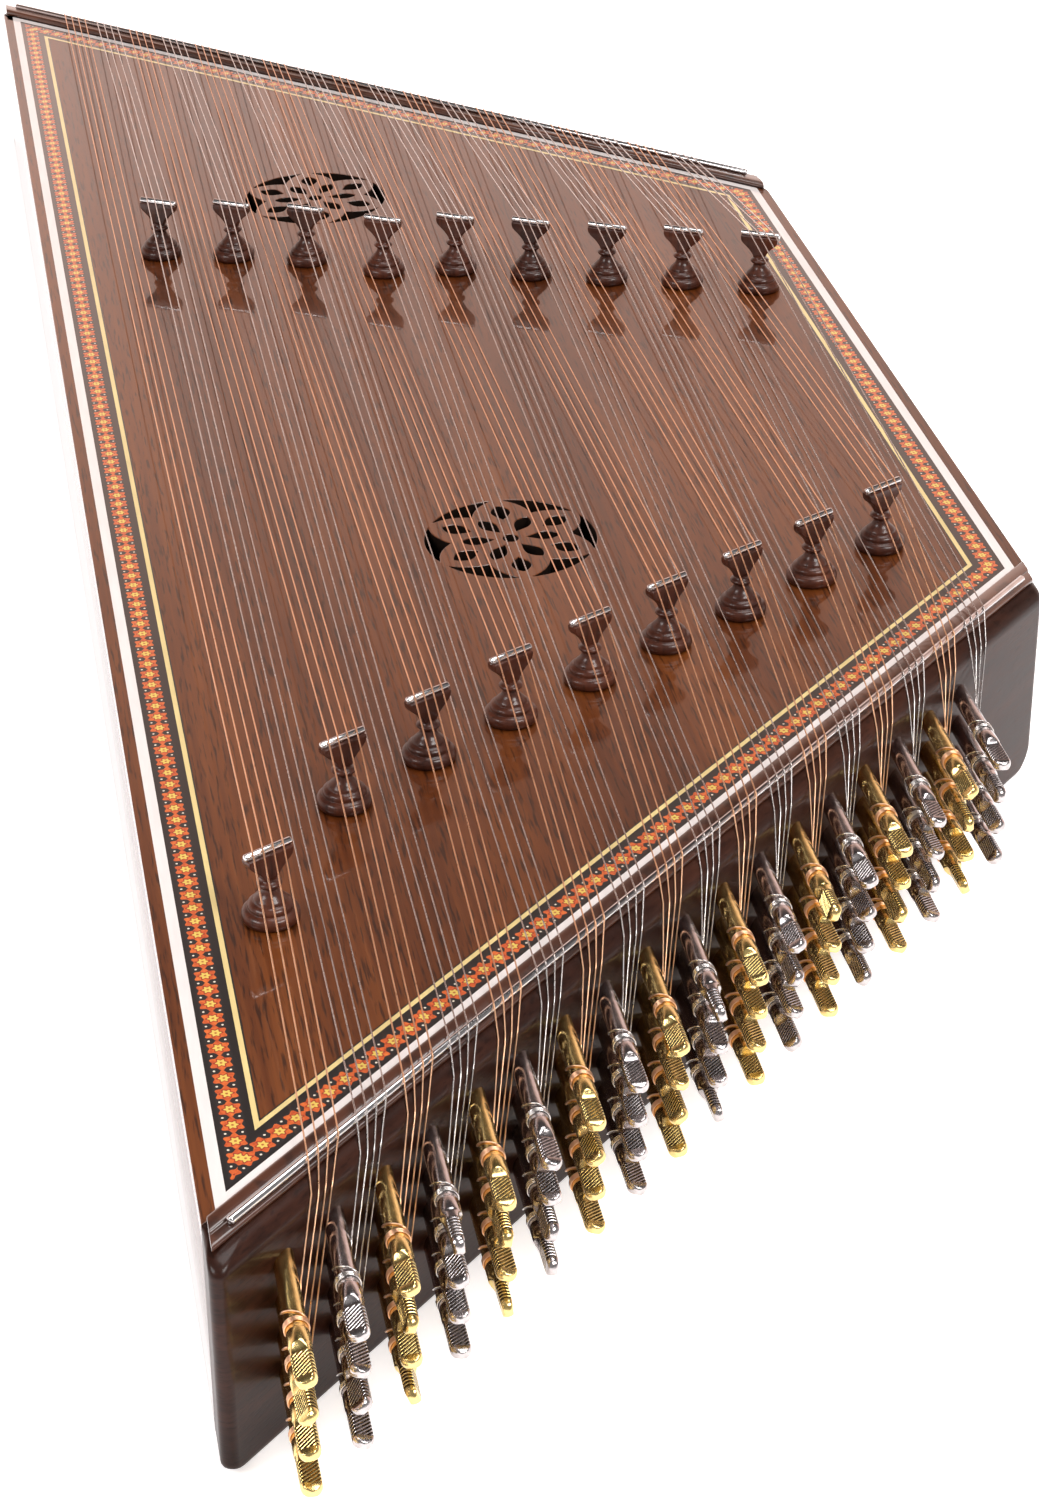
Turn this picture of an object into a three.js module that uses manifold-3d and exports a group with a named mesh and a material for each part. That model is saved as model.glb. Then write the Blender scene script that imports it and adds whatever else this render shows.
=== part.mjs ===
// Hammered dulcimer (trapezoidal box zither, nine-bridge santur pattern).
// Millimetres. +X runs along the strings towards the tuning pins, -Y is the long side,
// +Z is up. The origin is the centre of the underside.
import * as THREE from 'three';
import { mergeVertices } from 'three/addons/utils/BufferGeometryUtils.js';
import Module from 'manifold-3d';

const wasm = await Module();
wasm.setup();

// ---------------------------------------------------------------- driving dimensions
const LONG_SIDE = 905;          // length of the long side
const SHORT_SIDE = 356.6;       // length of the short side
const DEPTH = 278.6;            // long side to short side
const HEIGHT = 61;              // underside to soundboard
const PLATE = 6;                // soundboard thickness
const BACK = 4;                 // back plate thickness
const RAIL = 8;                 // front and rear rail thickness
const PLANK = 13;               // outer plank of each end block, square to its face
const CORE_OUT = 13.3;          // inner core of each end block, from and to
const CORE_IN = 36;
const CORNER_R = 5;             // vertical corner rounding
const GAP = 0.1;                // clearance between touching pieces that do not turn

const COURSES = 18;             // courses of four wires
const COURSE_Y0 = -109.2;       // first course
const COURSE_PITCH = 13.03;
const WIRE_PITCH = 2.7;
const WIRE_R = 0.22;
const BASS_X = [312.6, 260.7, 241.1, 223.7, 206.4, 189.4, 174.0, 157.5, 140.4];
const TREBLE_X = [-140.1, -132.8, -123.3, -107.3, -104.3, -94.7, -84.6, -76.0, -66.2];

const PIN_U0 = 25.0;            // first pin column, along the end face
const PIN_PITCH = 18.55;        // pin columns, along the end face
const PIN_ROW1 = 11.7;          // first pin row below the soundboard
const PIN_ROW_PITCH = 10.27;
const PIN_R = 2.75;
const PIN_OUT = 43.4;           // pin length outside the block, along X
const PIN_COIL = 26.5;          // wire coil, from the block along X
const HEAD = [13, 2.2, 4.0];    // flattened head: length, thickness, width
const BORE_R = 3.15;
const TOP_BORE_R = 3.35;        // wider, because the top row's pins turn
const LEAN = [0.3, 0.75, 0.019]; // sideways lean at the shoulder: first wire, each next one, extra per course from the far side
const TIE_S = [13.9, 19.3];     // depth of the metal strip that ties the inner pin ends
const PIN_IN_S = 16.5;          // depth of fixed pin ends
const TOP_PIN_IN_S = 10.6;      // depth of turning pin ends

const HITCH_R = 1.1;
const HITCH_Z = [45, 36];
const HITCH_OUT = 5;

const ROD_R = 1.3;
const ROD_S = 6.8;              // nut rod, inward from the end face
const ROD_Z = HEIGHT + 2.9;
const WIRE_OVER_ROD = 0.75;     // wire axis above the rod's top
const SHOULDER = [0.1, HEIGHT - 0.5];  // wire route over the shoulder (inward, height)

const BRIDGE_TURN = [29, -32].map((d) => d * Math.PI / 180); // the bridges' rods lie slantwise, like the ends of the case
const BRIDGE_ROD_Z = 20.5;      // rod axis above the soundboard
const BRIDGE_ROD_L = 14.6;
const BRIDGE_BASE_R = 7.6;

const ROSETTES = [[113, -11], [-186.4, -33]];
const ROSETTE_R = 27;
const POSTS = [[210, -60], [60, -80], [60, 60], [-95, -85], [-90, 45]];

// inlay frames: [from, to] inward from the outer white edge
const SIDE_INSET = 3.7;
const END_INSET = PLANK + 0.3;
const WHITE = [0, 3.0];
const KHATAM = [3.1, 11.7];
const CREAM = [11.8, 13.6];
const INLAY_T = 1.0;

// ---------------------------------------------------------------- helpers
const HA = LONG_SIDE / 2, HB = SHORT_SIDE / 2, HD = DEPTH / 2;
const E = new THREE.Vector3(HB - HA, DEPTH, 0).normalize();   // along the right end face
const IN = new THREE.Vector3(-E.y, E.x, 0);                   // inward from it
const UP = new THREE.Vector3(0, 0, 1);
const SIDE_L = Math.hypot(HA - HB, DEPTH);
const SIDE = new THREE.Matrix4().makeBasis(IN, UP, E).setPosition(HA, -HD, 0);
const NX = -IN.x;                                             // X share of the outward normal
const faceX = (y) => HA + (y + HD) * (HB - HA) / DEPTH;       // x of the right end face
const courseY = (k) => COURSE_Y0 + COURSE_PITCH * (k - 1);
const pinU = (k) => PIN_U0 + PIN_PITCH * (k - 1);
const pinY = (k) => -HD + E.y * pinU(k);
const pinX = (k) => HA + E.x * pinU(k);
const rowZ = (r) => HEIGHT - PIN_ROW1 - PIN_ROW_PITCH * r;
const two = (k) => String(k).padStart(2, '0');

function solid(source) {
  let g = source.clone();
  g.deleteAttribute('normal');
  g.deleteAttribute('uv');
  g = mergeVertices(g, 1e-4);
  return new wasm.Manifold(new wasm.Mesh({
    numProp: 3,
    vertProperties: new Float32Array(g.attributes.position.array),
    triVerts: new Uint32Array(g.index.array),
  }));
}
function geometry(m) {
  const k = m.getMesh();
  const g = new THREE.BufferGeometry();
  g.setAttribute('position', new THREE.BufferAttribute(new Float32Array(k.vertProperties), 3));
  g.setIndex(new THREE.BufferAttribute(new Uint32Array(k.triVerts), 1));
  g.computeVertexNormals();
  return g;
}
function join(parts) {
  let list = parts.slice();
  while (list.length > 1) {
    const next = [];
    for (let i = 0; i < list.length; i += 2) next.push(i + 1 < list.length ? list[i].add(list[i + 1]) : list[i]);
    list = next;
  }
  return list[0];
}
const cut = (body, parts) => body.subtract(join(parts));
function mirrored(g) {                                        // mirror in X, faces kept outward
  const h = mergeVertices((() => { const c = g.clone(); c.deleteAttribute('normal'); c.deleteAttribute('uv'); return c; })(), 1e-4);
  h.scale(-1, 1, 1);
  const i = h.index.array;
  for (let t = 0; t < i.length; t += 3) { const s = i[t]; i[t] = i[t + 1]; i[t + 1] = s; }
  return h;
}
function extruded(points, depth, holes = []) {
  const shape = new THREE.Shape(points.map((p) => new THREE.Vector2(p[0], p[1])));
  for (const h of holes) shape.holes.push(new THREE.Path(h.map((p) => new THREE.Vector2(p[0], p[1]))));
  return new THREE.ExtrudeGeometry(shape, { depth, bevelEnabled: false, steps: 1 });
}
const flat = (points, z0, z1, holes) => extruded(points, z1 - z0, holes).translate(0, 0, z0);
const sidePrism = (points, u0, u1) => extruded(points, u1 - u0).translate(0, 0, u0).applyMatrix4(SIDE);
const sideBox = (u0, u1, s0, s1, z0, z1) => sidePrism([[s0, z0], [s1, z0], [s1, z1], [s0, z1]], u0, u1);
function barX(r, x0, x1, y, z, sides, turn = 0) {             // prism along X
  return new THREE.CylinderGeometry(r, r, x1 - x0, sides).rotateY(turn).rotateZ(-Math.PI / 2).translate((x0 + x1) / 2, y, z);
}
function trapezoid(side, end) {                               // plan outline, inset from its edges
  const at = (y) => faceX(y) - end / NX;
  return [[-at(-HD + side), -HD + side], [at(-HD + side), -HD + side], [at(HD - side), HD - side], [-at(HD - side), HD - side]];
}
function rounded(points, r, n) {
  const out = [];
  const m = points.length;
  for (let i = 0; i < m; i++) {
    const p = new THREE.Vector2(...points[i]);
    const a = new THREE.Vector2(...points[(i + m - 1) % m]).sub(p).normalize();
    const b = new THREE.Vector2(...points[(i + 1) % m]).sub(p).normalize();
    const half = Math.acos(a.dot(b)) / 2;
    const t = r / Math.tan(half);
    const c = p.clone().add(a.clone().add(b).normalize().multiplyScalar(r / Math.sin(half)));
    const s = p.clone().add(a.multiplyScalar(t)).sub(c);
    const e = p.clone().add(b.multiplyScalar(t)).sub(c);
    let a0 = Math.atan2(s.y, s.x), a1 = Math.atan2(e.y, e.x);
    while (a1 < a0) a1 += 2 * Math.PI;
    for (let j = 0; j <= n; j++) {
      const w = a0 + (a1 - a0) * j / n;
      out.push([c.x + r * Math.cos(w), c.y + r * Math.sin(w)]);
    }
  }
  return out;
}
class WirePath extends THREE.Curve {                          // straight runs between given points
  constructor(points) { super(); this.points = points; }
  getPoint(t) { return this.points[Math.round(t * (this.points.length - 1))].clone(); }
  getSpacedPoints() { return this.points.map((p) => p.clone()); }
  getTangentAt(t) {
    const i = Math.round(t * (this.points.length - 1));
    const out = new THREE.Vector3();
    if (i > 0) out.add(this.points[i].clone().sub(this.points[i - 1]).normalize());
    if (i < this.points.length - 1) out.add(this.points[i + 1].clone().sub(this.points[i]).normalize());
    return out.normalize();
  }
}
function wire(points) {
  const path = new WirePath(points.map((p) => new THREE.Vector3(...p)));
  const section = new THREE.Shape([0, 1, 2].map((i) => new THREE.Vector2(
    WIRE_R * Math.cos(i * 2 * Math.PI / 3), WIRE_R * Math.sin(i * 2 * Math.PI / 3))));
  return new THREE.ExtrudeGeometry(section, { steps: points.length - 1, extrudePath: path, bevelEnabled: false });
}

// ---------------------------------------------------------------- materials
const material = (color, roughness, metalness) => new THREE.MeshStandardMaterial({ color, roughness, metalness });
const WALNUT = material(0x5a2a14, 0.25, 0);
const DARK_WALNUT = material(0x24120c, 0.22, 0);
const ROSEWOOD = material(0x35150c, 0.3, 0);
const SPRUCE = material(0xb98e5c, 0.7, 0);
const IVORY = material(0xe9dfd8, 0.35, 0);
const YELLOW = material(0xd9c06a, 0.4, 0);
const MOSAIC = material(0x9a4a1c, 0.4, 0);
const CHROME = material(0xd6d6d8, 0.12, 1);
const BRASS = material(0xd2ab52, 0.22, 1);
const NICKEL = material(0x85817f, 0.25, 1);
const BRONZE_WIRE = material(0xc08a5a, 0.3, 1);
const STEEL_WIRE = material(0xb9b6b4, 0.25, 1);

const dulcimer = new THREE.Group();
function put(name, g, mat, at) {
  const mesh = new THREE.Mesh(g, mat);
  mesh.name = name;
  if (at) mesh.position.set(...at);
  dulcimer.add(mesh);
  return mesh;
}

// ---------------------------------------------------------------- the box
const boardOutline = trapezoid(0, PLANK + 0.2);

// rosette: a centre hole, six inner and six outer petals and six rim crescents
function rosetteHoles(cx, cy) {
  const holes = [];
  const polar = (r, a) => [cx + r * Math.cos(a), cy + r * Math.sin(a)];
  holes.push([0, 1, 2, 3, 4, 5].map((i) => polar(2.6, i * Math.PI / 3)));
  for (let i = 0; i < 6; i++) {
    const a = i * Math.PI / 3 + Math.PI / 2;
    holes.push([polar(4.4, a), polar(9.3, a - 0.30), polar(13.6, a), polar(9.3, a + 0.30)].reverse());
    const b = a + Math.PI / 6;
    holes.push([polar(11.4, b), polar(17.2, b - 0.22), polar(22.6, b), polar(17.2, b + 0.22)].reverse());
    holes.push([polar(24.6, a - 0.40), polar(18.0, a), polar(24.6, a + 0.40), polar(ROSETTE_R - 0.2, a)].reverse());
  }
  return holes;
}
const holeSets = ROSETTES.flatMap(([x, y]) => rosetteHoles(x, y));
const board = solid(flat(boardOutline, HEIGHT - PLATE, HEIGHT));
const ring = (from, to, z0, z1) => flat(
  trapezoid(SIDE_INSET + from, END_INSET + from), z0, z1,
  [trapezoid(SIDE_INSET + to, END_INSET + to).reverse()]);
const groove = solid(ring(WHITE[0] - 0.1, CREAM[1] + 0.1, HEIGHT - INLAY_T - GAP, HEIGHT + 1));
const pierced = join(holeSets.map((h) => solid(flat(h.slice().reverse(), HEIGHT - PLATE - 1, HEIGHT + 1))));
put('soundboard', geometry(board.subtract(groove).subtract(pierced)), WALNUT);
put('white_binding', ring(WHITE[0], WHITE[1], HEIGHT - INLAY_T, HEIGHT), IVORY);
put('khatam_band', ring(KHATAM[0], KHATAM[1], HEIGHT - INLAY_T, HEIGHT), MOSAIC);
put('cream_line', ring(CREAM[0], CREAM[1], HEIGHT - INLAY_T, HEIGHT), YELLOW);
put('back_plate', flat(boardOutline, 0, BACK), WALNUT);

const railLow = BACK + GAP, railHigh = HEIGHT - PLATE - GAP;
const strip = (y0, y1, end) => {
  const at = (y) => faceX(y) - end / NX;
  return [[-at(y0), y0], [at(y0), y0], [at(y1), y1], [-at(y1), y1]];
};
put('front_rail', flat(strip(-HD, -HD + RAIL, PLANK + 0.2), railLow, railHigh), DARK_WALNUT);
put('rear_rail', flat(strip(HD - RAIL, HD, PLANK + 0.2), railLow, railHigh), DARK_WALNUT);

// end blocks: an outer plank with a rounded shoulder, and a core glued behind it
const plankProfile = [[0, 1.5], [1.5, 0], [PLANK, 0], [PLANK, HEIGHT], [4.5, HEIGHT], [2.25, HEIGHT - 0.6], [0.6, HEIGHT - 2.25], [0, HEIGHT - 4.5]].reverse();
const planRound = flat(rounded(trapezoid(0, 0), CORNER_R, 3), -1, HEIGHT + 5);
const plank = solid(sidePrism(plankProfile.slice().reverse(), -60, SIDE_L + 60)).intersect(solid(planRound));
const coreBody = solid(sideBox(-60, SIDE_L + 60, CORE_OUT, CORE_IN, railLow, railHigh))
  .intersect(solid(flat([[-HA, -HD + RAIL + 0.2], [HA, -HD + RAIL + 0.2], [HA, HD - RAIL - 0.2], [-HA, HD - RAIL - 0.2]], 0, HEIGHT)));
const atDepth = (u, s) => u + s * (-E.x) / NX;               // where a bar along X meets depth s

const pinBores = [];
for (let k = 1; k <= COURSES; k++) {
  for (let r = 0; r < 4; r++) {
    pinBores.push(solid(barX(r === 0 ? TOP_BORE_R : BORE_R, pinX(k) - 26, pinX(k) + 8, pinY(k), rowZ(r), 6)));
  }
}
put('tuning_pin_block', geometry(cut(plank, pinBores)), DARK_WALNUT);
const pinPocket = solid(sideBox(atDepth(pinU(1), PIN_IN_S) - 8, atDepth(pinU(COURSES), PIN_IN_S) + 8, CORE_OUT - 1, 20.0, 8, 47.5));
put('pin_block_core', geometry(coreBody.subtract(pinPocket)), SPRUCE);

const hitchY = (k, i) => courseY(k) + (i === 0 ? -WIRE_PITCH : WIRE_PITCH);
const faceU = (y) => (y + HD) / E.y;
const hitchBores = [];
for (let k = 1; k <= COURSES; k++) {
  for (let i = 0; i < 2; i++) {
    const y = hitchY(k, i);
    hitchBores.push(solid(barX(HITCH_R + 0.4, faceX(y) - 24, faceX(y) + 4, y, HITCH_Z[i], 4)));
  }
}
put('hitch_block', mirrored(geometry(cut(plank, hitchBores))), DARK_WALNUT);
const hitchPocket = solid(sideBox(atDepth(faceU(courseY(1)), 15) - 9, atDepth(faceU(courseY(COURSES)), 15) + 9, CORE_OUT - 1, 20.0, 23.5, 53.2));
put('hitch_block_core', mirrored(geometry(coreBody.subtract(hitchPocket))), SPRUCE);

// nuts and nut rods
const nutProfile = [[4.9, HEIGHT + GAP], [12.8, HEIGHT + GAP], [12.8, HEIGHT + 1.6], [12.2, HEIGHT + 2.2], [8.4, HEIGHT + 2.2], [8.4, HEIGHT + 1.45], [4.9, HEIGHT + 1.45]];
const planNut = flat(trapezoid(1.2, 0), HEIGHT, HEIGHT + 5);
const nut = geometry(solid(sidePrism(nutProfile, -40, SIDE_L + 40)).intersect(solid(planNut)));
put('right_nut', nut, WALNUT);
put('left_nut', mirrored(nut), WALNUT);
const rodSection = [];
for (let i = 0; i < 8; i++) rodSection.push([ROD_S + ROD_R * Math.cos((i + 0.5) * Math.PI / 4), ROD_Z + ROD_R * Math.sin((i + 0.5) * Math.PI / 4)]);
const nutRod = sidePrism(rodSection, 15, SIDE_L - 0.5);
put('right_nut_rod', nutRod, CHROME);
put('left_nut_rod', mirrored(nutRod), CHROME);

POSTS.forEach(([x, y], i) => {
  put(`sound_post_${i + 1}`, new THREE.CylinderGeometry(4, 4, railHigh - railLow, 8).rotateX(Math.PI / 2), SPRUCE,
    [x, y, (railHigh + railLow) / 2]);
});

// ---------------------------------------------------------------- bridges
function bridgeBody() {
  const profile = [[0, 0.1], [BRIDGE_BASE_R, 0.1], [6.6, 4.6], [2.7, 8.6], [2.7, 13.2], [0, 13.2]].map((p) => new THREE.Vector2(p[0], p[1]));
  const foot = solid(new THREE.LatheGeometry(profile, 8).rotateX(Math.PI / 2));
  const fan = solid(extruded([[-1.6, 12.6], [1.6, 12.6], [6.0, 17.2], [6.0, 19.6], [-6.0, 19.6], [-6.0, 17.2]], 3.6)
    .rotateX(Math.PI / 2).rotateZ(Math.PI / 2).translate(-1.8, 0, 0));
  const rod = solid(new THREE.CylinderGeometry(ROD_R, ROD_R, BRIDGE_ROD_L, 6).translate(0, 0, 0).rotateY(Math.PI / 6));
  return geometry(join([foot, fan, rod.translate([0, 0, BRIDGE_ROD_Z])]));
}
const bassBridge = bridgeBody().rotateZ(BRIDGE_TURN[0]);
const trebleBridge = bridgeBody().rotateZ(BRIDGE_TURN[1]);
const bridgeAt = (k) => (k % 2 ? BASS_X[(k - 1) / 2] : TREBLE_X[(k - 2) / 2]);
for (let k = 1; k <= COURSES; k++) {
  const n = Math.ceil(k / 2);
  put(`${k % 2 ? 'bass' : 'treble'}_bridge_${n}`, k % 2 ? bassBridge : trebleBridge, ROSEWOOD, [bridgeAt(k), courseY(k), HEIGHT]);
}

// ---------------------------------------------------------------- tuning pins
function pinBody(inner, sides) {                              // along +X, the face at x = 0
  const shaft = solid(barX(PIN_R, -inner, PIN_OUT - HEAD[0] + 1, 0, 0, sides));
  const head = solid(new THREE.BoxGeometry(HEAD[0], HEAD[1], HEAD[2]).translate(PIN_OUT - HEAD[0] / 2, 0, 0));
  return shaft.add(head);
}
const topPin = geometry(pinBody(TOP_PIN_IN_S / NX, 6));
const lowerPin = geometry(pinBody(PIN_IN_S / NX, 6));
for (let k = 1; k <= COURSES; k++) put(`tuning_pin_${two(k)}`, topPin, k % 2 ? BRASS : NICKEL, [pinX(k), pinY(k), rowZ(0)]);
for (const [name, first, mat] of [['tuning_pins_brass_lower', 1, BRASS], ['tuning_pins_steel_lower', 2, NICKEL]]) {
  const parts = [];
  const brass = first === 1;
  const z0 = brass ? 9.5 : rowZ(3) - 3.2;
  const z1 = brass ? rowZ(1) + 3.2 : 46;
  for (let k = first; k <= COURSES; k += 2) {
    for (let r = 1; r < 4; r++) parts.push(solid(lowerPin.clone().translate(pinX(k), pinY(k), rowZ(r))));
    const u = atDepth(pinU(k), PIN_IN_S);
    parts.push(solid(sideBox(u - 5.2, u + 5.2, TIE_S[0], TIE_S[1], z0, z1)));
  }
  const u0 = atDepth(pinU(first), PIN_IN_S) - 5, u1 = atDepth(pinU(first + 16), PIN_IN_S) + 5;
  parts.push(solid(brass ? sideBox(u0, u1, TIE_S[0] + 0.2, TIE_S[1] - 0.2, 9.2, 12) : sideBox(u0, u1, TIE_S[0] + 0.2, TIE_S[1] - 0.2, 43.6, 46.3)));
  put(name, geometry(join(parts)), mat);
}

// ---------------------------------------------------------------- strings with their hitch pins
const rodX = (y) => faceX(y) - ROD_S / NX;
const shoulderX = (y) => faceX(y) - SHOULDER[0] / NX;
const overRod = ROD_Z + ROD_R + WIRE_OVER_ROD;
const overBridge = HEIGHT + BRIDGE_ROD_Z + ROD_R + 0.4;
for (const [name, first, mat] of [['strings_brass', 1, BRONZE_WIRE], ['strings_steel', 2, STEEL_WIRE]]) {
  const parts = [];
  const brass = first === 1;
  for (let k = first; k <= COURSES; k += 2) {
    for (let j = 0; j < 4; j++) {
      const y = courseY(k) + (j - 1.5) * WIRE_PITCH;
      const i = j < 2 ? 0 : 1;
      const hy = hitchY(k, i);
      const lean = LEAN[0] + (LEAN[1] + LEAN[2] * (COURSES - k)) * j;      // the wires lean toward their own column of pins
      parts.push(solid(wire([
        [-(faceX(hy) + HITCH_OUT - 2), hy, HITCH_Z[i]],
        [-shoulderX(y), y, SHOULDER[1]],
        [-rodX(y), y, overRod],
        [bridgeAt(k) - (y - courseY(k)) * Math.tan(BRIDGE_TURN[(k + 1) % 2]), y, overBridge],
        [rodX(y), y, overRod],
        [shoulderX(y - lean), y - lean, SHOULDER[1]],
        [pinX(k) + PIN_COIL, pinY(k) + PIN_R + 0.35, rowZ(j) + 0.2],
      ])));
    }
    for (let i = 0; i < 2; i++) {
      const y = hitchY(k, i);
      parts.push(solid(mirrored(barX(HITCH_R, faceX(y) - PIN_IN_S / NX, faceX(y) + HITCH_OUT, y, HITCH_Z[i], 4))));
    }
    const u = atDepth(faceU(courseY(k)), PIN_IN_S);
    parts.push(solid(mirrored(sideBox(u - 6, u + 6, TIE_S[0], TIE_S[1], brass ? 25 : 35, brass ? 46 : 52))));
  }
  const u0 = atDepth(faceU(courseY(first)), PIN_IN_S) - 5, u1 = atDepth(faceU(courseY(first + 16)), PIN_IN_S) + 5;
  parts.push(solid(mirrored(brass ? sideBox(u0, u1, TIE_S[0] + 0.2, TIE_S[1] - 0.2, 24.8, 28) : sideBox(u0, u1, TIE_S[0] + 0.2, TIE_S[1] - 0.2, 49, 52.2))));
  put(name, geometry(join(parts)), mat);
}

export default dulcimer;
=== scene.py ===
import bpy, math, random
import numpy as np
from mathutils import Vector, Matrix


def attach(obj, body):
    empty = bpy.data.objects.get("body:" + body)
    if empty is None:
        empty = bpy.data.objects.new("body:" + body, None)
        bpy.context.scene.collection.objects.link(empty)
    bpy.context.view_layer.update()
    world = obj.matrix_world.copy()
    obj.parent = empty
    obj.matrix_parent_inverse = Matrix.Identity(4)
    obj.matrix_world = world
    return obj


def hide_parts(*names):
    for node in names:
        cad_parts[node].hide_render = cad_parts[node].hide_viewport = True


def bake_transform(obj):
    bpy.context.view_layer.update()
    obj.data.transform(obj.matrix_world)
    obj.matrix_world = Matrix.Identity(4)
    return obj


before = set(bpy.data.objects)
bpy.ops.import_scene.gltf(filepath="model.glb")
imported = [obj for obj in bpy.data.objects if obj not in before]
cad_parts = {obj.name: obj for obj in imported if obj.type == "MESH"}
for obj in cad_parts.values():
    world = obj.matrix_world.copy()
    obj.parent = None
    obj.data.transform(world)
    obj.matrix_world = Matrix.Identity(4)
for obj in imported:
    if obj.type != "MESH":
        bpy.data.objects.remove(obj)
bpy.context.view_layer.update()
MM = 0.001
random.seed(7)

# ------------------------------------------------------------------ dimensions (mm), as in the frame
HA, HB, HD, H = 452.5, 178.3, 139.3, 61.0
PLANK = 13.0
PLATE, BACK, RAIL = 6.0, 4.0, 8.0
COURSE_Y0, COURSE_PITCH, WIRE_PITCH, WIRE_R = -109.2, 13.03, 2.7, 0.22
BASS_X = [312.6, 260.7, 241.1, 223.7, 206.4, 189.4, 174.0, 157.5, 140.4]
TREBLE_X = [-140.1, -132.8, -123.3, -107.3, -104.3, -94.7, -84.6, -76.0, -66.2]
ROD_R, ROD_S, ROD_Z = 1.1, 6.8, H + 2.55
LEAN = (0.3, 0.75, 0.019)
TURN = [math.radians(29), math.radians(-32)]      # bass, treble bridges turned about their own axis
BROD_R, BROD_Z = 1.05, 20.6
SHO_R = 4.5
SL = math.hypot(HA - HB, 2 * HD)
EX, EY = (HB - HA) / SL, 2 * HD / SL
NX = EY
faceX = lambda y: HA + (y + HD) * (HB - HA) / (2 * HD)
courseY = lambda k: COURSE_Y0 + COURSE_PITCH * (k - 1)
pinX = lambda k: HA + EX * (25 + 18.55 * (k - 1))
pinY = lambda k: -HD + EY * (25 + 18.55 * (k - 1))
rowZ = lambda r: H - 11.7 - 10.27 * r
bridgeX = lambda k: BASS_X[(k - 1) // 2] if k % 2 else TREBLE_X[(k - 2) // 2]
bridgeBody = lambda k: ("bass" if k % 2 else "treble") + "_bridge_%d" % ((k + 1) // 2)


def side(y, s, z, sign=1):                       # a point s inward from an oblique end face
    return (sign * (faceX(y) - s / NX), y, z)


# ------------------------------------------------------------------ mesh helpers
def make(name, verts, faces, mats, smooth=True, fmat=None, mm=True):
    me = bpy.data.meshes.new(name)
    k = MM if mm else 1.0
    me.from_pydata([(v[0] * k, v[1] * k, v[2] * k) for v in verts], [], faces)
    for m in (mats if isinstance(mats, (list, tuple)) else [mats]):
        me.materials.append(m)
    me.update()
    if fmat is not None:
        me.polygons.foreach_set("material_index", fmat)
    me.polygons.foreach_set("use_smooth", [smooth] * len(me.polygons))
    ob = bpy.data.objects.new(name, me)
    bpy.context.scene.collection.objects.link(ob)
    return ob


def outward(ob):
    import bmesh
    bm = bmesh.new(); bm.from_mesh(ob.data)
    bmesh.ops.remove_doubles(bm, verts=bm.verts, dist=1e-7)
    bmesh.ops.recalc_face_normals(bm, faces=bm.faces)
    bm.to_mesh(ob.data); bm.free(); ob.data.update()
    return ob


def bevel(ob, width, segs=3, angle=30):
    m = ob.modifiers.new("bevel", "BEVEL")
    m.width = width * MM; m.segments = segs; m.limit_method = "ANGLE"; m.angle_limit = math.radians(angle)
    m.harden_normals = False
    dg = bpy.context.evaluated_depsgraph_get()
    me = bpy.data.meshes.new_from_object(ob.evaluated_get(dg))
    ob.modifiers.clear(); ob.data = me
    return ob


def shade(ob, angle=35, flat=None):              # faces larger than flat (mm2) keep their own normal
    me = ob.data
    me.polygons.foreach_set("use_smooth", [flat is None or q.area < flat * 1e-6 for q in me.polygons])
    me.set_sharp_from_angle(angle=math.radians(angle))
    return ob


def rings(lists, cap=True, base=0):              # loft through equal rings; returns verts, faces
    n = len(lists[0]); verts = [p for r in lists for p in r]; faces = []
    for i in range(len(lists) - 1):
        for j in range(n):
            a = base + i * n + j; b = base + i * n + (j + 1) % n
            faces.append((a, b, b + n, a + n))
    if cap:
        faces.append(tuple(base + j for j in reversed(range(n))))
        faces.append(tuple(base + (len(lists) - 1) * n + j for j in range(n)))
    return verts, faces


def tube(path, r, sides=6, base=0):
    pts = [Vector(p) for p in path]; out = []
    up = None
    for i, p in enumerate(pts):
        t = ((pts[i] - pts[i - 1]).normalized() if i else Vector((0, 0, 0))) + ((pts[i + 1] - pts[i]).normalized() if i < len(pts) - 1 else Vector((0, 0, 0)))
        t.normalize()
        if up is None:
            up = t.orthogonal().normalized()
        up = (up - t * up.dot(t)).normalized()
        w = t.cross(up)
        out.append([tuple(p + (up * math.cos(a) + w * math.sin(a)) * r) for a in [2 * math.pi * j / sides for j in range(sides)]])
    return rings(out, True, base)


def lathe(profile, segs, place):                 # profile of (radius, height); ends on the axis
    verts, faces = [], []
    mid = profile[1:-1]
    verts.append(place(0, 0, profile[0][1]))
    for r, z in mid:
        for j in range(segs):
            a = 2 * math.pi * j / segs
            verts.append(place(r * math.cos(a), r * math.sin(a), z))
    verts.append(place(0, 0, profile[-1][1]))
    for j in range(segs):
        faces.append((0, 1 + (j + 1) % segs, 1 + j))
    for i in range(len(mid) - 1):
        for j in range(segs):
            a = 1 + i * segs + j; b = 1 + i * segs + (j + 1) % segs
            faces.append((a, b, b + segs, a + segs))
    last = 1 + (len(mid) - 1) * segs; tip = len(verts) - 1
    for j in range(segs):
        faces.append((last + j, last + (j + 1) % segs, tip))
    return verts, faces


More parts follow.
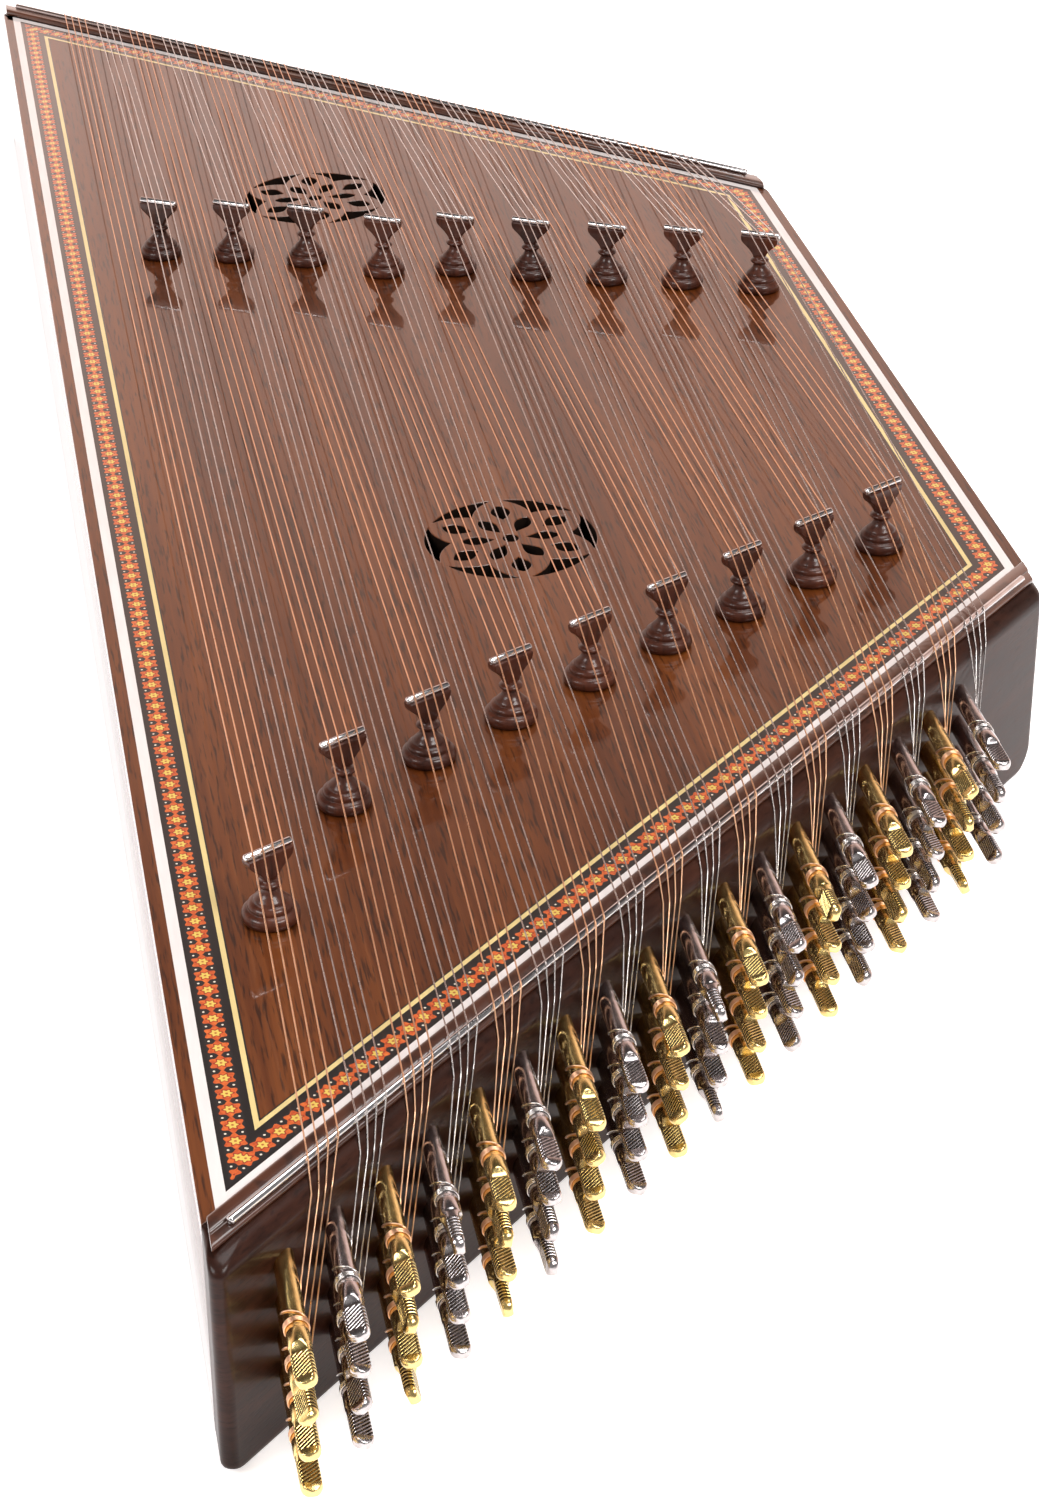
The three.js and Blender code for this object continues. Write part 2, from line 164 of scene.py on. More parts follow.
def capsule(p0, p1, r, segs=20):
    a, b = Vector(p0), Vector(p1); L = (b - a).length; d = (b - a) / L
    u = d.orthogonal().normalized(); w = d.cross(u)
    prof = [(0, 0)] + [(r * math.sin(t), r * 0.55 * (1 - math.cos(t))) for t in [math.pi / 2 * i / 5 for i in range(1, 6)]]
    prof += [(q[0], L - q[1]) for q in reversed(prof[1:])] + [(0, L)]
    return lathe(prof, segs, lambda x, y, z: tuple(a + u * x + w * y + d * z))


def plate(name, outline, holes, z0, z1, mat, edge=0.35):
    cu = bpy.data.curves.new(name, "CURVE"); cu.dimensions = "2D"; cu.fill_mode = "BOTH"
    for pts in [outline] + holes:
        sp = cu.splines.new("POLY"); sp.points.add(len(pts) - 1); sp.use_cyclic_u = True
        for i, p in enumerate(pts):
            sp.points[i].co = (p[0] * MM, p[1] * MM, 0, 1)
    cu.extrude = ((z1 - z0) / 2 - edge) * MM; cu.bevel_depth = edge * MM; cu.bevel_resolution = 2; cu.offset = -edge * MM
    ob = bpy.data.objects.new(name, cu)
    bpy.context.scene.collection.objects.link(ob)
    dg = bpy.context.evaluated_depsgraph_get()
    me = bpy.data.meshes.new_from_object(ob.evaluated_get(dg))
    bpy.data.objects.remove(ob)
    me.transform(Matrix.Translation((0, 0, (z0 + z1) / 2 * MM)))
    me.materials.clear(); me.materials.append(mat)
    o = bpy.data.objects.new(name, me)
    bpy.context.scene.collection.objects.link(o)
    outward(o)
    shade(o, 40)
    o.data.polygons.foreach_set("use_smooth", [abs(q.normal.z) < 0.999 for q in o.data.polygons])
    return o


# ------------------------------------------------------------------ materials
def new_mat(name):
    m = bpy.data.materials.new(name); m.use_nodes = True
    nt = m.node_tree
    return m, nt, nt.nodes["Principled BSDF"]


def node(nt, kind, **kw):
    n = nt.nodes.new(kind)
    for k, v in kw.items():
        setattr(n, k, v)
    return n


def math_node(nt, op, a, b=None, c=None):
    n = node(nt, "ShaderNodeMath", operation=op)
    for i, v in enumerate((a, b, c)):
        if v is None:
            continue
        if isinstance(v, (int, float)):
            n.inputs[i].default_value = v
        else:
            nt.links.new(v, n.inputs[i])
    return n.outputs[0]


def ramp(nt, fac, stops):
    r = node(nt, "ShaderNodeValToRGB")
    els = r.color_ramp.elements
    while len(els) < len(stops):
        els.new(0.5)
    for e, (p, c) in zip(els, stops):
        e.position = p; e.color = (*c, 1)
    nt.links.new(fac, r.inputs[0])
    return r.outputs[0]


def mapping(nt, src, scale, loc=(0, 0, 0)):
    m = node(nt, "ShaderNodeMapping"); m.inputs["Scale"].default_value = scale; m.inputs["Location"].default_value = loc
    nt.links.new(src, m.inputs[0]); return m.outputs[0]


def noise(nt, vec, detail=4, rough=0.55, dist=0.0, scale=1.0):
    n = node(nt, "ShaderNodeTexNoise"); n.inputs["Scale"].default_value = scale
    n.inputs["Detail"].default_value = detail; n.inputs["Roughness"].default_value = rough; n.inputs["Distortion"].default_value = dist
    nt.links.new(vec, n.inputs["Vector"]); return n.outputs["Fac"]


def mixc(nt, fac, a, b, mode="MIX"):
    n = node(nt, "ShaderNodeMix", data_type="RGBA", blend_type=mode)
    for sock, v in ((n.inputs[0], fac), (n.inputs[6], a), (n.inputs[7], b)):
        if isinstance(v, (int, float)):
            sock.default_value = v
        elif isinstance(v, tuple):
            sock.default_value = (*v, 1)
        else:
            nt.links.new(v, sock)
    return n.outputs[2]


def wood(name, c_dark, c_mid, c_light, stretch=(1, 1, 1), rough=0.35, coat=1.0, coat_rough=0.04, pore=0.6, bump=0.12, band=1.0):
    m, nt, b = new_mat(name)
    tc = node(nt, "ShaderNodeTexCoord").outputs["Object"]
    s = stretch
    band_v = mapping(nt, tc, (2.2 * s[0], 26 * s[1], 26 * s[2]), (3.1, 1.7, 0.4))
    bands = noise(nt, band_v, 3, 0.5, 0.9)
    fine = noise(nt, mapping(nt, tc, (16 * s[0], 520 * s[1], 520 * s[2])), 5, 0.6)
    pores = noise(nt, mapping(nt, tc, (95 * s[0], 1250 * s[1], 1250 * s[2])), 2, 0.5)
    t = math_node(nt, "ADD", math_node(nt, "MULTIPLY", bands, 0.62 * band), math_node(nt, "MULTIPLY", fine, 0.38))
    col = ramp(nt, t, [(0.30, c_dark), (0.48, c_mid), (0.68, c_light)])
    pm = node(nt, "ShaderNodeMapRange"); pm.inputs[1].default_value = 0.54; pm.inputs[2].default_value = 0.66
    nt.links.new(pores, pm.inputs[0])
    pf = math_node(nt, "MULTIPLY", pm.outputs[0], pore)
    col = mixc(nt, pf, col, tuple(x * 0.28 for x in c_dark))
    nt.links.new(col, b.inputs["Base Color"])
    r = node(nt, "ShaderNodeMapRange"); r.inputs[3].default_value = rough - 0.06; r.inputs[4].default_value = rough + 0.10
    nt.links.new(fine, r.inputs[0]); nt.links.new(r.outputs[0], b.inputs["Roughness"])
    bp = node(nt, "ShaderNodeBump"); bp.inputs["Strength"].default_value = bump; bp.inputs["Distance"].default_value = 0.0003
    nt.links.new(math_node(nt, "SUBTRACT", fine, pf), bp.inputs["Height"]); nt.links.new(bp.outputs[0], b.inputs["Normal"])
    b.inputs["Coat Weight"].default_value = coat; b.inputs["Coat Roughness"].default_value = coat_rough
    b.inputs["Specular IOR Level"].default_value = 0.25
    return m


def metal(name, col, rough, vary=0.08, grain=(220, 220, 220), tint=None):
    m, nt, b = new_mat(name)
    b.inputs["Metallic"].default_value = 1.0
    tc = node(nt, "ShaderNodeTexCoord").outputs["Object"]
    n = noise(nt, mapping(nt, tc, grain), 4, 0.6)
    nt.links.new(ramp(nt, n, [(0.3, tuple(x * 0.82 for x in (tint or col))), (0.7, col)]), b.inputs["Base Color"])
    r = node(nt, "ShaderNodeMapRange"); r.inputs[3].default_value = max(0.02, rough - vary); r.inputs[4].default_value = rough + vary
    nt.links.new(n, r.inputs[0]); nt.links.new(r.outputs[0], b.inputs["Roughness"])
    return m


def pin_metal(name, col, rough):
    m, nt, b = new_mat(name)
    b.inputs["Metallic"].default_value = 1.0
    at = node(nt, "ShaderNodeAttribute", attribute_name="pin_local"); sp = node(nt, "ShaderNodeSeparateXYZ")
    nt.links.new(at.outputs["Vector"], sp.inputs[0])
    x, y = sp.outputs[0], sp.outputs[1]
    on_head = math_node(nt, "MULTIPLY", math_node(nt, "GREATER_THAN", x, 0.0335), math_node(nt, "LESS_THAN", x, 0.0410))
    saw = math_node(nt, "SINE", math_node(nt, "MULTIPLY", math_node(nt, "ADD", x, math_node(nt, "MULTIPLY", y, 0.8)), 2 * math.pi / 0.00115))
    n = noise(nt, mapping(nt, at.outputs["Vector"], (260, 900, 900)), 4, 0.6)
    hgt = math_node(nt, "ADD", math_node(nt, "MULTIPLY", math_node(nt, "MULTIPLY", saw, on_head), 0.5), math_node(nt, "MULTIPLY", n, 0.25))
    bp = node(nt, "ShaderNodeBump"); bp.inputs["Strength"].default_value = 1.0; bp.inputs["Distance"].default_value = 0.00030
    nt.links.new(hgt, bp.inputs["Height"]); nt.links.new(bp.outputs[0], b.inputs["Normal"])
    plain = ramp(nt, n, [(0.25, tuple(q * 0.72 for q in col)), (0.6, col)])
    # painted shade: the base colour is darkened inside the sawn grooves of the pin head
    groove_shade = math_node(nt, "MULTIPLY", math_node(nt, "GREATER_THAN", saw, 0.1), math_node(nt, "MULTIPLY", on_head, 0.85))
    nt.links.new(mixc(nt, groove_shade, plain, tuple(q * 0.35 for q in col)), b.inputs["Base Color"])
    r = node(nt, "ShaderNodeMapRange"); r.inputs[3].default_value = rough - 0.06; r.inputs[4].default_value = rough + 0.12
    nt.links.new(n, r.inputs[0]); nt.links.new(r.outputs[0], b.inputs["Roughness"])
    return m


def lacquer(name, col, var=0.12, rough=0.3):
    m, nt, b = new_mat(name)
    tc = node(nt, "ShaderNodeTexCoord").outputs["Object"]
    n = noise(nt, mapping(nt, tc, (60, 400, 400)), 4, 0.6)
    nt.links.new(ramp(nt, n, [(0.3, tuple(x * (1 - var) for x in col)), (0.7, col)]), b.inputs["Base Color"])
    b.inputs["Roughness"].default_value = rough
    b.inputs["Coat Weight"].default_value = 1.0; b.inputs["Coat Roughness"].default_value = 0.04
    return m


def khatam():
    m, nt, b = new_mat("khatam_marquetry")
    at = node(nt, "ShaderNodeAttribute", attribute_name="kh"); sp = node(nt, "ShaderNodeSeparateXYZ")
    nt.links.new(at.outputs["Vector"], sp.inputs[0])
    u, v = sp.outputs[0], sp.outputs[1]
    px = math_node(nt, "SUBTRACT", math_node(nt, "FRACT", u), 0.5)
    py = math_node(nt, "SUBTRACT", v, 0.5)
    r = math_node(nt, "SQRT", math_node(nt, "ADD", math_node(nt, "MULTIPLY", px, px), math_node(nt, "MULTIPLY", py, py)))
    a = math_node(nt, "ARCTAN2", py, px)
    c6 = math_node(nt, "COSINE", math_node(nt, "MULTIPLY", a, 6.0))
    rs = math_node(nt, "MULTIPLY", r, math_node(nt, "ADD", 1.0, math_node(nt, "MULTIPLY", c6, -0.16)))
    c5 = math_node(nt, "MULTIPLY", r, math_node(nt, "ADD", 1.0, math_node(nt, "MULTIPLY", c6, 0.22)))
    jit = noise(nt, mapping(nt, at.outputs["Vector"], (3.3, 3.3, 3.3)), 3, 0.6)
    tone = ramp(nt, jit, [(0.3, (0.42, 0.050, 0.010)), (0.55, (0.62, 0.115, 0.020)), (0.75, (0.72, 0.19, 0.032))])
    col = mixc(nt, math_node(nt, "LESS_THAN", rs, 0.425), (0.012, 0.010, 0.010), tone)
    col = mixc(nt, math_node(nt, "LESS_THAN", c5, 0.26), col, (0.30, 0.028, 0.010))
    col = mixc(nt, math_node(nt, "LESS_THAN", c5, 0.19), col, (0.70, 0.50, 0.10))
    col = mixc(nt, math_node(nt, "LESS_THAN", c5, 0.055), col, (0.40, 0.10, 0.02))
    dx = math_node(nt, "SUBTRACT", math_node(nt, "FRACT", math_node(nt, "ADD", u, 0.5)), 0.5)
    dy = math_node(nt, "SUBTRACT", math_node(nt, "ABSOLUTE", py), 0.335)
    rd = math_node(nt, "SQRT", math_node(nt, "ADD", math_node(nt, "MULTIPLY", dx, dx), math_node(nt, "MULTIPLY", dy, dy)))
    col = mixc(nt, math_node(nt, "LESS_THAN", rd, 0.052), col, (0.72, 0.64, 0.52))
    col = mixc(nt, math_node(nt, "GREATER_THAN", math_node(nt, "ABSOLUTE", py), 0.46), col, (0.012, 0.010, 0.010))
    nt.links.new(col, b.inputs["Base Color"])
    b.inputs["Roughness"].default_value = 0.35
    b.inputs["Coat Weight"].default_value = 1.0; b.inputs["Coat Roughness"].default_value = 0.04
    return m


WALNUT = wood("soundboard_walnut", (0.036, 0.0080, 0.0018), (0.100, 0.0235, 0.0042), (0.185, 0.050, 0.0085), pore=0.75)
RAILWOOD = wood("rail_walnut", (0.040, 0.013, 0.008), (0.075, 0.024, 0.014), (0.120, 0.042, 0.022))
RAILWOOD.node_tree.nodes["Principled BSDF"].inputs["Coat IOR"].default_value = 1.58
DARK = wood("dark_walnut", (0.010, 0.0036, 0.0024), (0.022, 0.0072, 0.0044), (0.048, 0.0150, 0.0080), stretch=(0.8, 0.35, 1.6), pore=0.4, coat=0.15, coat_rough=0.13)
DARK.node_tree.nodes["Principled BSDF"].inputs["Specular IOR Level"].default_value = 0.12
NUTWOOD = wood("nut_walnut", (0.040, 0.012, 0.006), (0.085, 0.026, 0.012), (0.150, 0.050, 0.022), stretch=(1.5, 0.12, 1))
ROSE = wood("rosewood", (0.016, 0.0045, 0.0028), (0.050, 0.0135, 0.0075), (0.115, 0.030, 0.013), stretch=(12, 0.6, 0.06), rough=0.32, coat=0.30, coat_rough=0.10, pore=0.4)
SOFT = wood("softwood", (0.30, 0.17, 0.08), (0.45, 0.28, 0.14), (0.58, 0.40, 0.22), rough=0.7, coat=0.0, coat_rough=0.3, pore=0.15)
WHITE = lacquer("white_line", (0.80, 0.74, 0.72), 0.10)
BLACK = lacquer("black_line", (0.012, 0.010, 0.010), 0.4)
# painted shade: near-black matte that stands in for the shade inside the closed box, used on the rosette hole walls and
# the back board's inner face
PAINTED_SHADE_INSIDE, shade_nt, shade_bsdf = new_mat("painted_shade_inside")
shade_nt.links.new(ramp(shade_nt, noise(shade_nt, mapping(shade_nt, node(shade_nt, "ShaderNodeTexCoord").outputs["Object"], (300, 300, 300))), [(0.3, (0.006, 0.003, 0.002)), (0.7, (0.014, 0.007, 0.004))]), shade_bsdf.inputs["Base Color"])
shade_bsdf.inputs["Roughness"].default_value = 0.9; shade_bsdf.inputs["Specular IOR Level"].default_value = 0.1
CREAM = lacquer("cream_line", (0.80, 0.62, 0.27), 0.2)
KHATAM = khatam()
CHROME = metal("chrome", (0.66, 0.63, 0.63), 0.13, 0.05)
BRASS = pin_metal("brass_pin", (0.92, 0.69, 0.28), 0.17)
NICKEL = pin_metal("nickel_pin", (0.58, 0.53, 0.53), 0.15)
COPPERWIRE = metal("bronze_wire", (0.88, 0.52, 0.32), 0.30, 0.08)
STEELWIRE = metal("steel_wire", (0.66, 0.62, 0.60), 0.26, 0.08)

# ------------------------------------------------------------------ camera, light, floor
scene = bpy.context.scene
cam = bpy.data.objects.new("camera", bpy.data.cameras.new("camera"))
scene.collection.objects.link(cam)
eye = Vector((1031.55, -174.21, 469.94 + H)) * MM
look = (Vector((241.35, -31.81, H)) * MM - eye).normalized()
rx = look.cross(Vector((0, 0, 1))).normalized(); dn = look.cross(rx)
ROLL = -0.00666
r2 = rx * math.cos(ROLL) - dn * math.sin(ROLL); d2 = rx * math.sin(ROLL) + dn * math.cos(ROLL)
rot = Matrix((r2, -d2, -look)).transposed().to_4x4()
cam.matrix_world = Matrix.Translation(eye) @ rot
cam.data.lens = 80.856; cam.data.sensor_width = 36.0; cam.data.sensor_fit = "AUTO"
cam.data.clip_start = 0.01; cam.data.clip_end = 50
cam.data.dof.use_dof = False
scene.camera = cam
scene.view_settings.view_transform = "Standard"
scene.view_settings.look = "None"

world = bpy.data.worlds.new("studio"); scene.world = world; world.use_nodes = True
wn = world.node_tree
bg = wn.nodes["Background"]
tcw = node(wn, "ShaderNodeTexCoord"); sep = node(wn, "ShaderNodeSeparateXYZ")
wn.links.new(tcw.outputs["Generated"], sep.inputs[0])
up = math_node(wn, "MULTIPLY_ADD", sep.outputs[2], 0.5, 0.5)
far_side = ramp(wn, up, [(0.50, (1.62, 1.24, 1.12)), (0.665, (1.58, 1.16, 1.02)), (0.727, (0.88, 0.60, 0.49)), (0.780, (0.10, 0.08, 0.075)), (1.0, (0.08, 0.08, 0.08))])
near_side = ramp(wn, up, [(0.50, (0.62, 0.60, 0.60)), (0.62, (0.36, 0.35, 0.35)), (1.0, (0.30, 0.30, 0.30))])
face = node(wn, "ShaderNodeMapRange"); face.inputs[1].default_value = -0.05; face.inputs[2].default_value = 0.45
wn.links.new(math_node(wn, "MULTIPLY", sep.outputs[0], -1.0), face.inputs[0])
wcol = mixc(wn, face.outputs[0], near_side, far_side)
wn.links.new(wcol, bg.inputs["Color"]); bg.inputs["Strength"].default_value = 0.85


def area(name, loc, target, size, power, col=(1, 1, 1)):
    li = bpy.data.lights.new(name, "AREA"); li.shape = "RECTANGLE"; li.size, li.size_y = size; li.energy = power; li.color = col
    ob = bpy.data.objects.new(name, li); scene.collection.objects.link(ob)
    ob.location = loc
    ob.rotation_euler = (Vector(target) - Vector(loc)).to_track_quat("-Z", "Y").to_euler()
    return ob


area("key_softbox", (1.5, 0.9, 1.7), (0.1, 0, 0.05), (1.0, 0.7), 34, (1, 0.98, 0.96))
area("fill_softbox", (0.9, -1.7, 1.3), (0.2, 0, 0.05), (1.0, 0.7), 22)
area("top_softbox", (-0.2, 0.3, 2.4), (0, 0, 0), (1.3, 1.3), 34)

fm, fnt, fb = new_mat("pale_floor")
fb.inputs["Base Color"].default_value = (0.90, 0.89, 0.89, 1); fb.inputs["Roughness"].default_value = 0.75
fb.inputs["Emission Color"].default_value = (1.0, 0.97, 0.97, 1); fb.inputs["Emission Strength"].default_value = 0.65
floor = make("floor", [(-9, -9, 0), (9, -9, 0), (9, 9, 0), (-9, 9, 0)], [(0, 1, 2, 3)], fm, mm=False)
floor.location.z = -0.0004


def piece(ob, slot, *nodes, body="root"):
    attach(ob, body)
    if nodes:
        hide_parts(*nodes)
    return ob


# ------------------------------------------------------------------ the box
def trap(sd, end):
    at = lambda y: faceX(y) - end / NX
    return [(-at(-HD + sd), -HD + sd), (at(-HD + sd), -HD + sd), (at(HD - sd), HD - sd), (-at(HD - sd), HD - sd)]


def rosette(cx, cy):
    out = []
    P = lambda r, a: (cx + r * math.cos(a), cy + r * math.sin(a))
    out.append([P(2.45, 2 * math.pi * i / 24) for i in range(24)])

    def petal(a, r0, r1, w, fat, n=16):
        left, right = [], []
        for i in range(n + 1):
            t = (1 - math.cos(math.pi * i / n)) / 2; r = r0 + (r1 - r0) * t
            h = w * max(0.0, math.sin(math.pi * t ** fat)) ** 0.8
            left.append(P(r, a - h / r)); right.append(P(r, a + h / r))
        return left + right[-2:0:-1]
    for i in range(6):
        a = i * math.pi / 3 + math.pi / 2
        out.append(petal(a, 5.1, 15.4, 2.55, 1.35))
        out.append(petal(a + math.pi / 6, 13.2, 22.6, 3.0, 1.25))
        W = 0.45; n = 20
        outer = [P(26.7, a + W * (2 * j / n - 1)) for j in range(n + 1)]
        inner = [P(26.7 - 7.6 * (1 - abs(2 * j / n - 1)) ** 1.25 - (0.0 if j in (0, n) else 0.25), a + W * (2 * j / n - 1)) for j in range(n + 1)]
        out.append(outer + inner[-2:0:-1])
    return out


board = plate("soundboard_plate", trap(0, PLANK + 0.15), rosette(113, -11) + rosette(-186.4, -33), H - PLATE, H, WALNUT, 0.3)
board.data.materials.append(PAINTED_SHADE_INSIDE)
# painted shade: the rosette hole walls get the near-black material so the openings look as dark as the shaded inside of
# the box
for q in board.data.polygons:
    c = q.center / MM
    if abs(q.normal.z) < 0.6 and any(math.hypot(c.x - x, c.y - y) < 27.6 for x, y in ((113, -11), (-186.4, -33))):
        q.material_index = 1
piece(board, "soundboard_walnut", "soundboard")
back = plate("back_board", trap(0.2, PLANK + 0.15), [], 0, BACK, DARK, 0.6)
back.data.materials.append(PAINTED_SHADE_INSIDE)
# painted shade: the back board's inner (top) face is near-black, standing in for the shade inside the box
for q in back.data.polygons:
    q.material_index = 1 if q.normal.z > 0.9 else 0
piece(back, "dark_walnut", "back_plate")

SI, EI = 3.7, PLANK + 0.3


def ring_mesh(name, a, b, z, mat, slot, nodes=(), pitch=None):
    o, i = trap(SI + a, EI + a), trap(SI + b, EI + b)
    verts, faces, uv = [], [], []
    for k in range(4):
        p0, p1, q0, q1 = o[k], o[(k + 1) % 4], i[k], i[(k + 1) % 4]
        d = Vector((p1[0] - p0[0], p1[1] - p0[1])); L = d.length; d /= L
        n = len(verts)
        for (x, y), v in ((p0, 0), (p1, 0), (q1, 1), (q0, 1)):
            for zz in (z, z - 0.5):
                verts.append((x, y, zz))
                s = (x - p0[0]) * d.x + (y - p0[1]) * d.y
                cells = max(1, round(L / pitch)) if pitch else 1
                uv.append((s / L * cells, v, 0))
        faces += [(n, n + 2, n + 4, n + 6), (n + 1, n + 7, n + 5, n + 3), (n, n + 1, n + 3, n + 2), (n + 4, n + 5, n + 7, n + 6)]
    ob = make(name, verts, faces, mat, smooth=False)
    if pitch:
        at = ob.data.attributes.new("kh", "FLOAT_VECTOR", "POINT")
        at.data.foreach_set("vector", [c for t in uv for c in t])
    return piece(ob, slot, *nodes)


ring_mesh("white_line_inlay", 0.0, 3.0, H + 0.03, WHITE, "white_line", ("white_binding",))
ring_mesh("outer_black_line", 3.0, 4.2, H + 0.02, BLACK, "khatam")
ring_mesh("khatam_inlay", 4.2, 10.2, H + 0.03, KHATAM, "khatam", ("khatam_band",), pitch=6.25)
ring_mesh("inner_black_line", 10.2, 12.1, H + 0.02, BLACK, "khatam")
ring_mesh("cream_line_inlay", 12.1, 13.45, H + 0.03, CREAM, "cream_line", ("cream_line",))
ring_mesh("fine_dark_line", 13.45, 13.9, H + 0.02, BLACK, "khatam")


def rail(name, y0, y1, nodes):
    at = lambda y: faceX(y) - (PLANK + 0.15) / NX
    lo, hi = BACK + 0.02, H - PLATE - 0.02
    pts = [(-at(y0), y0), (at(y0), y0), (at(y1), y1), (-at(y1), y1)]
    v, f = rings([[(x, y, lo) for x, y in pts], [(x, y, hi) for x, y in pts]])
    ob = outward(make(name, v, f, RAILWOOD))
    bevel(ob, 0.25, 2); shade(ob, 35, 60)
    return piece(ob, "dark_walnut", *nodes)


rail("front_rail_panel", -HD, -HD + RAIL, ("front_rail",))
rail("rear_rail_panel", HD - RAIL, HD, ("rear_rail",))


def swept_end(name, prof, sign, mat, bev, inset=0.0, segs=4, angle=50):
    y0, y1 = -HD + inset, HD - inset
    v, f = rings([[side(y0, s, z, sign) for s, z in prof], [side(y1, s, z, sign) for s, z in prof]])
    ob = outward(make(name, v, f, mat))
    if bev:
        bevel(ob, bev, segs, angle)
    return shade(ob, 40, 60)


def plank(name, sign, mat, corner):
    A = math.atan2(-EX, EY); nx, ny = math.cos(A), math.sin(A)       # the oblique face's normal
    c = faceX(-HD) * nx - HD * ny
    in1, in2 = faceX(-HD) - PLANK / NX, faceX(HD) - PLANK / NX

    def low(z, r):
        return r - math.sqrt(max(0.0, r * r - (r - z) ** 2)) if z < r else 0.0
    zs = [8.0 - 8.0 * math.cos(math.pi / 2 * i / 14) for i in range(15)] + [20.0, 38.0]
    zs += [H - SHO_R + SHO_R * math.sin(math.pi / 2 * i / 14) for i in range(15)]
    out = []
    for z in zs:
        d = max(low(z, 1.8), low(H - z, SHO_R))
        e1 = max(low(z, 3.0), low(H - z, 2.2)); e2 = max(low(z, 8.0), low(H - z, 2.6))
        r1, r2_ = corner + 0.5 * d, 5.0
        y1, y2 = -HD + e1 + r1, HD - e2 - r2_
        x1, x2 = (c - d - r1 - y1 * ny) / nx, (c - d - r2_ - y2 * ny) / nx
        ring = [(in1 + (x1 - in1) * t, -HD + e1 * (0.12 + 0.88 * t ** 0.6)) for t in (0, 0.25, 0.5, 0.75)]
        ring += [(x1 + r1 * math.cos(a), y1 + r1 * math.sin(a)) for a in [-math.pi / 2 + (A + math.pi / 2) * i / 14 for i in range(15)]]
        a0, b0 = ring[-1], (x2 + r2_ * nx, y2 + r2_ * ny)
        ring += [(a0[0] + (b0[0] - a0[0]) * i / 12, a0[1] + (b0[1] - a0[1]) * i / 12) for i in range(1, 12)]
        ring += [(x2 + r2_ * math.cos(a), y2 + r2_ * math.sin(a)) for a in [A + (math.pi / 2 - A) * i / 8 for i in range(9)]]
        ring += [(x2 + (in2 - x2) * t, HD - e2 * (0.12 + 0.88 * (1 - t) ** 0.6)) for t in (0.25, 0.5, 0.75, 1)]
        out.append([(sign * x, y, z) for x, y in ring])
    v, f = rings(out)
    ob = outward(make(name, v, f, mat))
    return shade(ob, 40, 40)


for sign, nm, node_name in ((1, "tuning_block_plank", "tuning_pin_block"), (-1, "hitch_block_plank", "hitch_block")):
    piece(plank(nm, sign, DARK, 2.6 if sign > 0 else 5.0), "dark_walnut", node_name)

nut_prof = [(12.8, H), (12.8, H + 1.7), (12.2, H + 2.25), (8.8, H + 2.25), (8.35, H + 1.95), (8.2, H + 1.5), (5.3, H + 1.45), (4.95, H + 1.2), (4.9, H)]
for sign, nm, node_name in ((1, "right_nut_strip", "right_nut"), (-1, "left_nut_strip", "left_nut")):
    piece(swept_end(nm, nut_prof, sign, NUTWOOD, 0.35, 1.3, 2, 40), "nut_walnut", node_name)


def along(u, s, z, sign):
    return (sign * (HA + EX * u - s * EY), -HD + EY * u + s * EX, z)


for sign, nm, node_name in ((1, "right_rod", "right_nut_rod"), (-1, "left_rod", "left_nut_rod")):
    v, f = capsule(along(15.0, ROD_S, ROD_Z, sign), along(SL - 0.5, ROD_S, ROD_Z, sign), ROD_R, 24)
    piece(shade(outward(make(nm, v, f, CHROME)), 60), "chrome_rod", node_name)

for n in ["pin_block_core", "hitch_block_core"] + ["sound_post_%d" % i for i in range(1, 6)]:
    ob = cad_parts[n]; ob.data.materials.clear(); ob.data.materials.append(SOFT)

# ------------------------------------------------------------------ bridges
foot = [(0, 0.12), (6.7, 0.12), (7.2, 0.3), (7.55, 0.85), (7.68, 1.6), (7.6, 2.3), (7.35, 2.9), (6.9, 3.35), (6.35, 3.6), (6.05, 3.66), (5.92, 3.85), (6.0, 4.15), (6.02, 4.5),
        (5.85, 4.95), (5.45, 5.35), (4.95, 5.65), (4.6, 5.74), (4.5, 5.9), (4.5, 6.2), (4.1, 6.75), (3.45, 7.35), (2.85, 8.0), (2.45, 8.7), (2.22, 9.4), (2.15, 9.9), (2.35, 10.15), (3.0, 10.35), (3.3, 10.7), (3.32, 11.05),
        (3.1, 11.4), (2.5, 11.65), (2.15, 11.9), (2.1, 12.7), (0, 12.7)]


def bridge_mesh(name):
    v, f = lathe(foot, 40, lambda x, y, z: (x, y, z))
    n = len(v)
    half = [(2.0, 12.0), (2.2, 12.8), (2.75, 13.8), (3.65, 15.0), (4.8, 16.1), (5.9, 17.0), (6.6, 17.9), (6.85, 18.8), (6.9, 19.95)]
    outline = [(y, z) for y, z in half] + [(-y, z) for y, z in reversed(half)]
    T = 1.75
    def thick(z):                                # waisted at the neck, full at the top
        return T * (0.80 + 0.20 * min(1, (z - 12) / 3.5))
    v2, f2 = rings([[(-thick(z), y, z) for y, z in outline], [(-thick(z) * 0.86 - 0.25 + 0.25, y * 1.0, z) for y, z in outline][:0] or [(thick(z), y, z) for y, z in outline]], True, 0)
    fan = outward(make(name + "_fan", v2, f2, ROSE)); bevel(fan, 0.32, 3, 45)
    m1 = make(name, v, f, [ROSE, CHROME])
    outward(m1)
    rv, rf = capsule((0, -7.35, BROD_Z), (0, 7.35, BROD_Z), BROD_R, 24)
    rod = outward(make(name + "_rod", rv, rf, CHROME))
    return m1.data, fan.data, rod.data, (m1, fan, rod)


